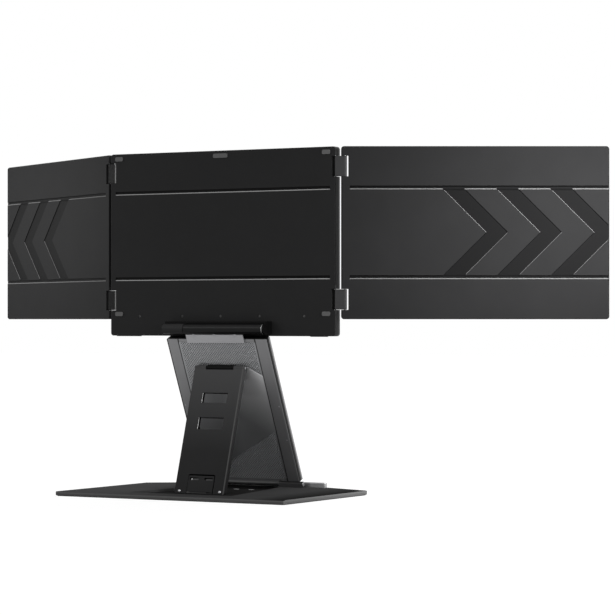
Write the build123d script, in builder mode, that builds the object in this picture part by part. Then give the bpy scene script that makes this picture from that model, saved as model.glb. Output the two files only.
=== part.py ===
from build123d import *
import os
from math import cos, radians, sin

# A laptop screen extender: a centre screen on a folding stand, and a side screen on each of its
# edges. X runs to the user's right, Y to the back of the screens and Z up. The origin is the
# middle of the base's underside, on the desk. Sizes are in millimetres and angles in degrees.

# ---- Fits ----
running_clearance = 0.05  # radial, a pin in what turns on it
seat_clearance = 0.02  # radial, a pin or screw in what holds it
knuckle_gap = 0.4  # end play between hinge knuckles
panel_gap = 0.15  # round a panel in its rebate
press_gap = 0.1  # between a pressed button and its switch

# ---- Base ----
base_width = 360.0
base_depth = 225.5
base_corner = 4.0
mat_thickness = 1.0
mat_inset = 1.5
plate_thickness = 2.7
deck_thickness = 2.5
deck_bevel = 0.8
deck_rise = 2.2  # of the deck towards its front edge
deck_ramp = 63.0  # from the base's side in to the deck's full height
recess_rear_width = 160.0
recess_front_width = 106.0
recess_rear_margin = 33.0  # from the base's rear edge
recess_front_margin = 11.5  # from the base's front edge
bar_length = 235.0
bar_depth = 6.8
bar_height = 9.2
bar_dip = 1.7  # where the leaf leans over the bar
bar_dip_margin = 1.5  # beside the leaf
bar_inset = 1.0
bar_round = 1.5
base_screw_pitch = 24.0
base_screw_count = 2
base_screw_setback = 28.5  # from the base's front edge
base_screw_radius = 4.0
base_screw_head = 0.4
screw_head_height = 0.9

# ---- Base hinge ----
hinge_setback = 18.5  # from the base's front edge
hinge_height = 13.0
hinge_knuckle_radius = 3.6
hinge_pin_radius = 1.8
hinge_pin_head = 0.7
hinge_pin_head_radius = 2.8
hinge_pin_length = 60.0
hinge_block_inner_x = 51.7
hinge_outer_x = 88.9

# ---- Leaf, the board that carries the screens ----
leaf_angle = 65.6  # above the desk, leaning back
leaf_width = 160.0
leaf_length = 217.1
leaf_thickness = 9.5
leaf_face_offset = 6.0  # from the hinge axis forward to the leaf's rear face
leaf_start = -0.5  # from the hinge axis up to the leaf's lower edge
leaf_corner = 2.5
leaf_foot_corner = 1.0
leaf_bevel = 0.4
seam_width = 1.2
seam_depth = 0.8
seam_inset = 1.0  # from the leaf's rear face
leaf_border = 18.0
leaf_rail = 6.0  # solid rails round the hollow middle
rear_panel_thickness = 1.5
rear_panel_end = 5.5
front_cover_thickness = 1.2
front_cover_border = 6.0
leaf_screw_radius = 1.1
leaf_screw_x = 75.5
leaf_screw_heights = (64.0, 115.0)
leaf_screw_depth = 4.0

# ---- Tilt barrel, at the leaf's top ----
tilt_rise = 14.0  # above the leaf's upper edge, along the leaf
tilt_offset = -6.6  # behind the base hinge's axis
sleeve_radius = 7.0
shaft_radius = 3.0
sleeve_left = 45.5  # the sleeve's end towards +X
barrel_left = 79.5
barrel_right = 82.0
cheek_thickness = 2.6
washer_thickness = 0.8
flange_thickness = 2.4
flange_width = 88.0
bracket_width = 91.0
bracket_thickness = 2.2
bracket_overlap = 5.5  # down the leaf's rear face
bracket_screw_pitch = 33.0
bracket_screw_radius = 2.0
bracket_screw_rise = 4.5  # above the leaf's upper edge
bracket_top_gap = 0.3  # between the bracket and the sleeve
flange_inset = 1.0  # from the bracket's lower edge up to the flange's

# ---- Kickstand ----
kick_reach = 174.8  # along the leaf, from the base hinge
kick_offset = 4.8  # from the leaf's rear face back to the kickstand's axis
kick_lean = 17.2  # from the vertical
kick_width = 79.0
kick_thickness = 6.0
kick_corner = 3.0
kick_knuckle_radius = 3.4
kick_pin_radius = 1.6
kick_web_height = 5.0
kick_block_height = 24.0
kick_block_thickness = 4.0
kick_centre_knuckle = 44.0
kick_centre_radius = 2.6
kick_notch_depth = 3.2
foot_gap = 0.4  # under the foot, so that it slides
slot_width = 40.0
slot_spans = ((36.0, 50.2), (70.7, 87.4))  # down the kickstand, from its hinge
window_width = 43.0
window_height = 27.0
window_corner = 3.0
shoe_width = 72.0
shoe_height = 31.0
shoe_thickness = 1.4
tab_recess = 1.0
tab_lip_width = 33.0
tab_lip_height = 1.4
tab_slot_height = 3.4
tab_slot_width = 14.5
tab_slot_xs = (-12.4, 10.7)
tab_slot_rise = 20.9
rivet_spacing = 64.0
rivet_radius = 1.9
rivet_shank_radius = 0.9
rivet_rise = 3.2
rivet_head = 1.0

# ---- Screens ----
active_width = 336.0
active_height = 210.0
lcd_margin = 2.5
lcd_thickness = 2.8
bezel_thickness = 1.0
rear_wall = 2.2
groove_width = 5.4
groove_floor = 2.4
groove_depth = 1.0
groove_low = 55.8  # above the side screens' lower edge
groove_high = 175.0
screen_bevel = 0.6

# ---- Side screens ----
side_hinge_bezel = 13.3
side_outer_bezel = 7.05
side_top_bezel = 7.0
side_chin = 13.0
side_thickness = 8.0
side_corner = 4.0
side_bevel = 1.4
side_fold = 30.0
side_groove_start = 11.4
side_wall = 2.0
chevron_count = 3
chevron_pitch = 71.6
chevron_width = 29.6
chevron_start = 220.8  # from the outer edge in to the first chevron
chevron_depth = 0.8
chevron_taper = 40.0
driver_width = 200.0
driver_height = 9.0
board_thickness = 1.2

# ---- Centre screen ----
centre_bezel = 12.0
centre_top_bezel = 7.0
centre_chin = 35.8
centre_thickness = 13.0
centre_cover_depth = 7.0
centre_corner = 4.0
centre_groove_margin = 8.0
barrel_standoff = 17.2  # from the tilt axis to the centre screen's rear face
barrel_rise = 9.4  # from the centre screen's lower edge up to the tilt axis
centre_wall = 2.0
main_board_margin = 9.65  # from the hollow's side walls
main_board_height = 19.0
cover_screw_positions = (-132.0, -62.0, 0.0, 62.0, 132.0)
cover_screw_rise = 27.0
cover_screw_head = 1.8
cover_screw_shank = 1.0
boss_radius = 2.4
pad_width = 12.5
pad_height = 6.0
pad_proud = 0.8
pad_side = 14.0
pad_top = 7.0
pad_low = 30.0
top_pad_width = 22.8

# ---- Tilt mount, on the centre screen's back ----
mount_rise = 10.5  # above the tilt axis
mount_drop = 6.5
mount_groove_gap = 0.5
mount_depth = 16.0
mount_screw_radius = 1.5
mount_screw_head = 2.8
mount_screw_length = 8.0
mount_screw_x = 63.0
mount_screw_rise = 3.5

# ---- Side screen links ----
link_thickness = 5.5
link_height = 27.0
link_relief_length = 9.4  # of the right links, on the side that the folded left screen passes
link_relief_depth = 3.05
link_notch_gap = 0.35
link_end_gap = 0.5
link_screen_end_gap = 1.9
link_pin_radius = 1.1
link_pin_grip = 8.0
link_centre_distance = 26.3  # from a side screen's upper or lower edge
closed_gap = 0.8  # between folded screens
screen_pin_inset = 5.0
screen_pin_depth = 4.25
left_pin_depth = 3.75
left_pin_inset = 2.9
right_pin_depth = 10.0
right_pin_inset = 5.4

# ---- Buttons and ports ----
button_setback = 27.5  # from the centre screen's edge to a button's middle
power_button_width = 26.0
menu_button_width = 40.0
button_thickness = 2.6
button_proud = 0.8
button_travel = 0.5
button_flange = 1.0
button_gap = 0.15
switch_width = 6.0
switch_height = 3.5
port_width = 8.9
port_thickness = 3.2
port_length = 7.4
port_wall = 0.35
port_positions = (-116.0, -100.0, 100.0)


def finish(piece, name):
    """Labels a finished piece and writes it."""
    piece.part.label = name
    export_step(piece.part, f"parts/{name}.step")


# ================= Base =================

floor_z = mat_thickness + plate_thickness
deck_z = floor_z + deck_thickness
front_y = -base_depth / 2
hinge_y = front_y + hinge_setback

with BuildPart() as base_mat:
    with BuildSketch():
        RectangleRounded(base_width - 2 * mat_inset, base_depth - 2 * mat_inset, base_corner)
    extrude(amount=mat_thickness)
finish(base_mat, "base_mat")

base_screw_xs = [base_screw_pitch * (i - (base_screw_count - 1) / 2) for i in range(base_screw_count)]
base_screw_y = front_y + base_screw_setback
base_screw_shank = base_screw_radius / 2

with BuildPart() as base_plate:
    with BuildSketch(Plane.XY.offset(mat_thickness)):
        RectangleRounded(base_width, base_depth, base_corner)
        with Locations([(x, base_screw_y) for x in base_screw_xs]):
            Circle(base_screw_shank + seat_clearance, mode=Mode.SUBTRACT)
    extrude(amount=plate_thickness)
finish(base_plate, "base_plate")

with BuildPart() as base_screws:
    with BuildSketch(Plane.XY.offset(floor_z)):
        with Locations([(x, base_screw_y) for x in base_screw_xs]):
            Circle(base_screw_radius)
    extrude(amount=base_screw_head)
    with BuildSketch(Plane.XY.offset(mat_thickness)):
        with Locations([(x, base_screw_y) for x in base_screw_xs]):
            Circle(base_screw_shank)
    extrude(amount=plate_thickness)
finish(base_screws, "base_screws")

recess_rear_y = base_depth / 2 - recess_rear_margin
recess_front_y = front_y + recess_front_margin

bar_y = front_y + bar_inset + bar_depth / 2
bar_seat_depth = bar_inset + bar_depth + panel_gap
block_length = hinge_outer_x - hinge_block_inner_x
blocks_at = [(side * (hinge_block_inner_x + block_length / 2), hinge_y) for side in (-1, 1)]

with BuildPart() as base_deck:
    with BuildSketch(Plane.XY.offset(floor_z)):
        RectangleRounded(base_width, base_depth, base_corner)
    extrude(amount=deck_thickness)
    chamfer(base_deck.faces().sort_by(Axis.Z)[-1].edges(), deck_bevel)
    # The top rises to the front, and falls again to the base's sides.
    with BuildSketch(Plane.YZ):
        with BuildLine():
            Polyline(
                (front_y + deck_bevel, deck_z),
                (front_y + deck_bevel, deck_z + deck_rise),
                (-front_y - deck_bevel, deck_z),
                close=True,
            )
        make_face()
    extrude(amount=base_width / 2 - deck_bevel, both=True)
    for side in (-1, 1):
        with BuildSketch(Plane.XZ):
            with BuildLine():
                Polyline(
                    (side * base_width / 2, deck_z),
                    (side * (base_width / 2 - deck_ramp), deck_z + deck_rise),
                    (side * base_width / 2, deck_z + deck_rise),
                    close=True,
                )
            make_face()
        extrude(amount=base_depth / 2, both=True, mode=Mode.SUBTRACT)
    with BuildSketch(Plane.XY.offset(floor_z)):
        with BuildLine():
            Polyline(
                (-recess_rear_width / 2, recess_rear_y),
                (recess_rear_width / 2, recess_rear_y),
                (recess_front_width / 2, recess_front_y),
                (-recess_front_width / 2, recess_front_y),
                close=True,
            )
        make_face()
        with Locations(blocks_at):
            Rectangle(block_length + 2 * panel_gap, 2 * (hinge_knuckle_radius + panel_gap))
    extrude(amount=deck_thickness + deck_rise, mode=Mode.SUBTRACT)
    with BuildSketch(Plane.XY.offset(deck_z)):
        with Locations((0, front_y)):
            Rectangle(
                bar_length + 2 * panel_gap, bar_seat_depth, align=(Align.CENTER, Align.MIN)
            )
    extrude(amount=deck_rise, mode=Mode.SUBTRACT)
finish(base_deck, "base_deck")

with BuildPart() as front_bar:
    with BuildSketch(Plane.XY.offset(deck_z)):
        with Locations((0, bar_y)):
            RectangleRounded(bar_length, bar_depth, bar_depth / 3)
    extrude(amount=bar_height)
    fillet(front_bar.faces().sort_by(Axis.Z)[-1].edges(), bar_round)
    with BuildSketch(Plane.XY.offset(deck_z + bar_height)):
        with Locations((0, bar_y)):
            Rectangle(leaf_width + 2 * bar_dip_margin, bar_depth)
    extrude(amount=-bar_dip, mode=Mode.SUBTRACT)
finish(front_bar, "front_bar")

# The leaf's long knuckle turns on a pin at each end, held in a block on the base plate.
with BuildPart() as hinge_blocks:
    for x in (-hinge_outer_x, hinge_block_inner_x):
        with BuildSketch(Plane.YZ.offset(x)):
            with Locations((hinge_y, hinge_height)):
                Circle(hinge_knuckle_radius)
            with Locations((hinge_y, floor_z)):
                Rectangle(
                    2 * hinge_knuckle_radius, hinge_height - floor_z, align=(Align.CENTER, Align.MIN)
                )
            with Locations((hinge_y, hinge_height)):
                Circle(hinge_pin_radius + seat_clearance, mode=Mode.SUBTRACT)
        extrude(amount=block_length)
finish(hinge_blocks, "hinge_blocks")

with BuildPart() as hinge_pins:
    for x in (-hinge_outer_x, hinge_outer_x - hinge_pin_length):
        with BuildSketch(Plane.YZ.offset(x)):
            with Locations((hinge_y, hinge_height)):
                Circle(hinge_pin_radius)
        extrude(amount=hinge_pin_length)
    for x in (-hinge_outer_x - hinge_pin_head, hinge_outer_x):
        with BuildSketch(Plane.YZ.offset(x)):
            with Locations((hinge_y, hinge_height)):
                Circle(hinge_pin_head_radius)
        extrude(amount=hinge_pin_head)
finish(hinge_pins, "hinge_pins")

# ================= Leaf =================

leaf_up = Vector(0, cos(radians(leaf_angle)), sin(radians(leaf_angle)))
leaf_back = Vector(0, sin(radians(leaf_angle)), -cos(radians(leaf_angle)))
hinge_point = Vector(0, hinge_y, hinge_height)
kick_point = hinge_point + leaf_up * kick_reach + leaf_back * (kick_offset - leaf_face_offset)
leaf_end = leaf_start + leaf_length
tilt_reach = leaf_end + tilt_rise
tilt_point = hinge_point + leaf_up * tilt_reach + leaf_back * tilt_offset

# On the leaf's planes, x runs to the user's left and y up the leaf from the base hinge.
leaf_rear = Plane(
    origin=hinge_point - leaf_back * leaf_face_offset, x_dir=(-1, 0, 0), z_dir=leaf_back
)
leaf_front = leaf_rear.offset(-leaf_thickness)
# On this plane x runs up the leaf and y forward from its rear face.
leaf_side = Plane(origin=leaf_rear.origin, x_dir=leaf_up, z_dir=(1, 0, 0))
leaf_middle_y = leaf_start + leaf_length / 2
panel_width = leaf_width - 2 * leaf_border
panel_length = leaf_length - 2 * rear_panel_end
cavity_depth = leaf_thickness - rear_panel_thickness - front_cover_thickness
leaf_screws_at = [(x, y) for x in (-leaf_screw_x, leaf_screw_x) for y in leaf_screw_heights]
bracket_screws_at = [(bracket_screw_pitch * i, leaf_end + bracket_screw_rise) for i in (-1, 0, 1)]
bracket_low = leaf_end - bracket_overlap
flange_low = bracket_low + flange_inset


def leaf_outline(inset):
    """The leaf's outline as a sketch, drawn in by an inset."""
    with BuildSketch(leaf_rear.offset(-seam_inset)) as outline:
        with Locations((0, leaf_middle_y)):
            Rectangle(leaf_width - 2 * inset, leaf_length - 2 * inset)
        fillet(outline.vertices().group_by(Axis.Y)[-1], leaf_corner)
        fillet(outline.vertices().group_by(Axis.Y)[0], leaf_foot_corner)
    return outline.sketch


with BuildPart() as leaf_frame:
    extrude(leaf_outline(0), amount=seam_inset)
    extrude(leaf_outline(0), amount=-(leaf_thickness - seam_inset))
    rear_edges = leaf_frame.faces().sort_by(Axis(leaf_rear.origin, leaf_back))[-1].edges()
    chamfer(rear_edges, leaf_bevel)
    extrude(leaf_outline(0) - leaf_outline(seam_depth), amount=-seam_width, mode=Mode.SUBTRACT)
    with BuildSketch(leaf_rear):
        with Locations((0, leaf_middle_y)):
            Rectangle(panel_width, panel_length)
    extrude(amount=-rear_panel_thickness, mode=Mode.SUBTRACT)
    with BuildSketch(leaf_rear):
        with Locations((0, leaf_middle_y)):
            Rectangle(panel_width - 2 * leaf_rail, panel_length - 4 * leaf_rail)
    extrude(amount=-leaf_thickness, mode=Mode.SUBTRACT)
    with BuildSketch(leaf_front):
        with Locations((0, leaf_middle_y)):
            Rectangle(leaf_width - 2 * front_cover_border, panel_length - 2 * leaf_rail)
    extrude(amount=front_cover_thickness, mode=Mode.SUBTRACT)
    with BuildSketch(leaf_rear):
        with Locations((0, flange_low)):
            Rectangle(
                flange_width + 2 * panel_gap,
                leaf_end - flange_low,
                align=(Align.CENTER, Align.MIN),
            )
    extrude(amount=-(flange_thickness + panel_gap), mode=Mode.SUBTRACT)
    with BuildSketch(leaf_rear):
        with Locations(leaf_screws_at):
            Circle(leaf_screw_radius + seat_clearance)
    extrude(amount=-leaf_screw_depth, mode=Mode.SUBTRACT)
finish(leaf_frame, "leaf_frame")

with BuildPart() as leaf_rear_panel:
    with BuildSketch(leaf_rear.offset(-rear_panel_thickness)):
        with Locations((0, leaf_middle_y)):
            Rectangle(panel_width - 2 * panel_gap, panel_length - 2 * panel_gap)
        with Locations((0, kick_reach)):
            Rectangle(
                kick_centre_knuckle + 2 * panel_gap,
                kick_web_height + 2 * panel_gap,
                mode=Mode.SUBTRACT,
            )
    extrude(amount=rear_panel_thickness)
finish(leaf_rear_panel, "leaf_rear_panel")

with BuildPart() as leaf_front_cover:
    with BuildSketch(leaf_front):
        with Locations((0, leaf_middle_y)):
            Rectangle(
                leaf_width - 2 * front_cover_border - 2 * panel_gap,
                panel_length - 2 * leaf_rail - 2 * panel_gap,
            )
    extrude(amount=front_cover_thickness)
finish(leaf_front_cover, "leaf_front_cover")

leaf_knuckle_x = hinge_block_inner_x - knuckle_gap

with BuildPart() as leaf_knuckle:
    with BuildSketch(leaf_side.offset(-leaf_knuckle_x)):
        with Locations((0, -leaf_face_offset)):
            Circle(hinge_knuckle_radius)
            Rectangle(
                2 * hinge_knuckle_radius, leaf_face_offset, align=(Align.CENTER, Align.MIN)
            )
            Circle(hinge_pin_radius + running_clearance, mode=Mode.SUBTRACT)
    extrude(amount=2 * leaf_knuckle_x)
finish(leaf_knuckle, "leaf_knuckle")

with BuildPart() as leaf_screws:
    with BuildSketch(leaf_rear):
        with Locations(leaf_screws_at):
            Circle(leaf_screw_radius)
    extrude(amount=-(leaf_screw_depth - panel_gap))
finish(leaf_screws, "leaf_screws")

# The kickstand's hinge block sits in the leaf and shows one knuckle through the rear panel.
with BuildPart() as kick_hinge_block:
    with BuildSketch(leaf_rear.offset(-rear_panel_thickness)):
        with Locations((0, kick_reach)):
            Rectangle(panel_width - 2 * leaf_rail - 2 * panel_gap, kick_block_height)
    extrude(amount=-kick_block_thickness)
    with BuildSketch(leaf_rear.offset(-rear_panel_thickness)):
        with Locations((0, kick_reach)):
            Rectangle(kick_centre_knuckle, kick_web_height)
    extrude(amount=rear_panel_thickness + kick_offset)
    with BuildSketch(leaf_side.offset(-kick_centre_knuckle / 2)):
        with Locations((kick_reach, -kick_offset)):
            Circle(kick_centre_radius)
    extrude(amount=kick_centre_knuckle)
    with BuildSketch(leaf_side.offset(-kick_centre_knuckle / 2)):
        with Locations((kick_reach, -kick_offset)):
            Circle(kick_pin_radius + seat_clearance)
    extrude(amount=kick_centre_knuckle, mode=Mode.SUBTRACT)
finish(kick_hinge_block, "kick_hinge_block")

# ================= Tilt barrel =================

# On this plane x runs up the leaf and y forward from the tilt axis.
tilt_side = Plane(origin=tilt_point, x_dir=leaf_up, z_dir=(1, 0, 0))
sleeve_right = -(barrel_right - cheek_thickness - washer_thickness - knuckle_gap)
sleeve_length = sleeve_left - sleeve_right
face_below_tilt = leaf_face_offset + tilt_offset  # from the tilt axis forward to the rear face
flange_reach = tilt_reach - flange_low

with BuildPart() as tilt_sleeve:
    with BuildSketch(tilt_side.offset(sleeve_right)):
        Circle(sleeve_radius)
        Circle(shaft_radius + running_clearance, mode=Mode.SUBTRACT)
    extrude(amount=sleeve_length)
    with BuildSketch(tilt_side.offset(-flange_width / 2)):
        with Locations((-flange_reach, face_below_tilt)):
            Rectangle(
                flange_reach - 1.5 * shaft_radius,
                flange_thickness,
                align=(Align.MIN, Align.MIN),
            )
    extrude(amount=flange_width)
    with BuildSketch(leaf_rear):
        with Locations(bracket_screws_at):
            Circle(bracket_screw_radius / 2 + seat_clearance)
    extrude(amount=-flange_thickness, mode=Mode.SUBTRACT)
finish(tilt_sleeve, "tilt_sleeve")

bracket_top = tilt_reach - sleeve_radius

with BuildPart() as barrel_bracket:
    with BuildSketch(leaf_rear):
        with Locations((0, bracket_low)):
            Rectangle(
                bracket_width,
                bracket_top - bracket_top_gap - bracket_low,
                align=(Align.CENTER, Align.MIN),
            )
        with Locations(bracket_screws_at):
            Circle(bracket_screw_radius / 2 + seat_clearance, mode=Mode.SUBTRACT)
    extrude(amount=bracket_thickness)
finish(barrel_bracket, "barrel_bracket")

with BuildPart() as bracket_screws:
    with BuildSketch(leaf_rear.offset(-flange_thickness)):
        with Locations(bracket_screws_at):
            Circle(bracket_screw_radius / 2)
    extrude(amount=flange_thickness + bracket_thickness)
    with BuildSketch(leaf_rear.offset(bracket_thickness)):
        with Locations(bracket_screws_at):
            Circle(bracket_screw_radius)
    extrude(amount=screw_head_height)
finish(bracket_screws, "bracket_screws")

# ================= Kickstand =================

kick_up = Vector(0, -sin(radians(kick_lean)), cos(radians(kick_lean)))
kick_back = Vector(0, cos(radians(kick_lean)), sin(radians(kick_lean)))
kick_rear = Plane(
    origin=kick_point + kick_back * (kick_thickness / 2), x_dir=(-1, 0, 0), z_dir=kick_back
)
# On this plane x runs up the kickstand and y forward from its hinge axis.
kick_side = Plane(origin=kick_point, x_dir=kick_up, z_dir=(1, 0, 0))
# The foot is cut level, just above the recess floor.
foot_level = Plane.XY.offset(floor_z + foot_gap)
half_rise = kick_thickness / 2 * sin(radians(kick_lean))
kick_length = (kick_point.Z + half_rise - floor_z - foot_gap) / cos(radians(kick_lean))
kick_knuckle_length = (kick_width - kick_centre_knuckle) / 2 - knuckle_gap
rivets_at = [(x, rivet_rise - kick_length) for x in (-rivet_spacing / 2, rivet_spacing / 2)]

with BuildPart() as kickstand:
    with BuildSketch(kick_rear) as kick_outline:
        with Locations((0, -kick_length)):
            Rectangle(kick_width, kick_length, align=(Align.CENTER, Align.MIN))
        fillet(kick_outline.vertices().group_by(Axis.Y)[0], kick_corner)
        Rectangle(kick_centre_knuckle + 2 * knuckle_gap, 2 * kick_notch_depth, mode=Mode.SUBTRACT)
        for slot_top, slot_foot in slot_spans:
            with Locations((0, -(slot_top + slot_foot) / 2)):
                Rectangle(slot_width, slot_foot - slot_top, mode=Mode.SUBTRACT)
        with Locations((0, -kick_length)):
            RectangleRounded(window_width, 2 * window_height, window_corner, mode=Mode.SUBTRACT)
    extrude(amount=-kick_thickness)
    with BuildSketch(kick_rear.offset(-kick_thickness)):
        with Locations((0, -kick_length)):
            Rectangle(
                shoe_width + 2 * panel_gap,
                shoe_height + panel_gap,
                align=(Align.CENTER, Align.MIN),
            )
    extrude(amount=shoe_thickness, mode=Mode.SUBTRACT)
    for x in (-kick_width / 2, kick_width / 2 - kick_knuckle_length):
        with BuildSketch(kick_side.offset(x)):
            Circle(kick_knuckle_radius)
        extrude(amount=kick_knuckle_length)
    with BuildSketch(kick_side.offset(-kick_width / 2)):
        Circle(kick_pin_radius + running_clearance)
    extrude(amount=kick_width, mode=Mode.SUBTRACT)
    with BuildSketch(kick_rear):
        with Locations(rivets_at):
            Circle(rivet_shank_radius + seat_clearance)
    extrude(amount=-kick_thickness, mode=Mode.SUBTRACT)
    split(bisect_by=foot_level, keep=Keep.TOP)
finish(kickstand, "kickstand")

with BuildPart() as kick_pin:
    with BuildSketch(kick_side.offset(-kick_width / 2)):
        Circle(kick_pin_radius)
    extrude(amount=kick_width)
finish(kick_pin, "kick_pin")

with BuildPart() as foot_shoe:
    with BuildSketch(kick_rear.offset(-kick_thickness)):
        with Locations((0, -kick_length)):
            Rectangle(shoe_width, shoe_height, align=(Align.CENTER, Align.MIN))
    extrude(amount=shoe_thickness)
    with BuildSketch(kick_rear.offset(shoe_thickness - kick_thickness)) as tab_outline:
        with Locations((0, -kick_length)):
            Rectangle(
                window_width - 2 * panel_gap,
                window_height - panel_gap,
                align=(Align.CENTER, Align.MIN),
            )
        fillet(tab_outline.vertices().group_by(Axis.Y)[-1], window_corner)
    extrude(amount=kick_thickness - shoe_thickness - tab_recess)
    with BuildSketch(kick_rear.offset(-tab_recess)):
        with Locations((0, rivet_rise - kick_length)):
            Rectangle(tab_lip_width, tab_lip_height)
    extrude(amount=tab_recess)
    with BuildSketch(kick_rear):
        with Locations([(x, tab_slot_rise - kick_length) for x in tab_slot_xs]):
            SlotOverall(tab_slot_width, tab_slot_height)
        with Locations(rivets_at):
            Circle(rivet_shank_radius + seat_clearance)
    extrude(amount=-kick_thickness, mode=Mode.SUBTRACT)
    split(bisect_by=foot_level, keep=Keep.TOP)
finish(foot_shoe, "foot_shoe")

with BuildPart() as foot_rivets:
    with BuildSketch(kick_rear.offset(-kick_thickness)):
        with Locations(rivets_at):
            Circle(rivet_shank_radius)
    extrude(amount=kick_thickness)
    with BuildSketch(kick_rear):
        with Locations(rivets_at):
            Circle(rivet_radius)
    extrude(amount=rivet_head)
    fillet(foot_rivets.faces().sort_by(Axis(kick_rear.origin, kick_back))[-1].edges(), 0.4)
finish(foot_rivets, "foot_rivets")

# ================= Screens =================

side_width = side_hinge_bezel + active_width + side_outer_bezel
side_height = side_top_bezel + active_height + side_chin
side_cover_depth = side_thickness - bezel_thickness
centre_width = active_width + 2 * centre_bezel
centre_height = centre_top_bezel + active_height + centre_chin
screen_y = tilt_point.Y - barrel_standoff
centre_low_z = tilt_point.Z - barrel_rise
side_low_z = centre_low_z + centre_height - side_height
notch_height = link_height + 2 * link_notch_gap
link_rises = (link_centre_distance, side_height - link_centre_distance)

# On each screen's rear plane x runs to the user's left and y up from its lower edge.
centre_rear = Plane(origin=(0, screen_y, centre_low_z), x_dir=(-1, 0, 0), z_dir=(0, 1, 0))


class SideScreen:
    """Where a side screen and its links lie: out is -1 on the user's left and 1 on the right.

    Each link turns on one pin in the centre screen and one in the side screen, half the fold on
    each. Folded shut, the screens lie face to face in a stack, layers deep, with a gap between.
    """

    def __init__(self, name, out, layers, pin_inset, pin_depth):
        fold, half = radians(side_fold), radians(side_fold / 2)
        outward = Vector(out * cos(fold), -sin(fold), 0)
        back = Vector(out * sin(fold), cos(fold), 0)
        stack = centre_thickness + layers * (side_thickness + closed_gap)
        self.name = name
        self.local = -out
        self.pin_inset = pin_inset
        self.pitch = stack - pin_depth - screen_pin_depth
        self.centre_pin = Vector(out * (centre_width / 2 - pin_inset), screen_y - pin_depth, 0)
        self.link_turn = -out * side_fold / 2
        self.screen_pin = self.centre_pin + Vector(out * cos(half), -sin(half), 0) * self.pitch
        corner = self.screen_pin - outward * screen_pin_inset + back * screen_pin_depth
        self.rear = Plane(
            origin=corner + Vector(0, 0, side_low_z), x_dir=(-back.Y, back.X, 0), z_dir=back
        )


left = SideScreen("left", -1, 1, left_pin_inset, left_pin_depth)
right = SideScreen("right", 1, 2, right_pin_inset, right_pin_depth)


def rear_axis(plane):
    """The axis that sorts a screen's faces from its front to its back."""
    return Axis(plane.origin, plane.z_dir)


def cut_groove(plane, x, y, length):
    """Cuts one straight groove with sloping walls along a rear face."""
    across = Plane(
        origin=plane.from_local_coords((x, y, 0)), x_dir=plane.y_dir, z_dir=plane.x_dir
    )
    with BuildSketch(across) as section:
        with BuildLine():
            Polyline(
                (-groove_width / 2, 0),
                (groove_width / 2, 0),
                (groove_floor / 2, -groove_depth),
                (-groove_floor / 2, -groove_depth),
                close=True,
            )
        make_face()
    extrude(section.sketch, amount=length, mode=Mode.SUBTRACT)


def cut_notches(plane, edge_x, depth, rises, thickness):
    """Cuts the two link notches in from one edge of a screen."""
    with BuildSketch(plane) as notches:
        with Locations([(edge_x, rise) for rise in rises]):
            Rectangle(2 * depth, notch_height)
    extrude(notches.sketch, amount=-thickness, mode=Mode.SUBTRACT)


def cut_pin_bores(pin):
    """Cuts the bores that hold a link pin above and below each notch."""
    for rise in link_rises:
        low = side_low_z + rise - notch_height / 2 - link_pin_grip
        with BuildSketch(Plane.XY.offset(low)) as bore:
            with Locations((pin.X, pin.Y)):
                Circle(link_pin_radius + seat_clearance)
        extrude(bore.sketch, amount=notch_height + 2 * link_pin_grip, mode=Mode.SUBTRACT)


screen_notch_depth = screen_pin_inset + link_thickness / 2 + link_screen_end_gap
side_rail = side_hinge_bezel - lcd_margin - panel_gap
centre_rail = centre_bezel - lcd_margin - panel_gap
chevron_low = groove_low + groove_width / 2
chevron_high = groove_high - groove_width / 2
chevron_point = (chevron_high - chevron_low) / 2  # the lines run at 45 degrees

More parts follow.
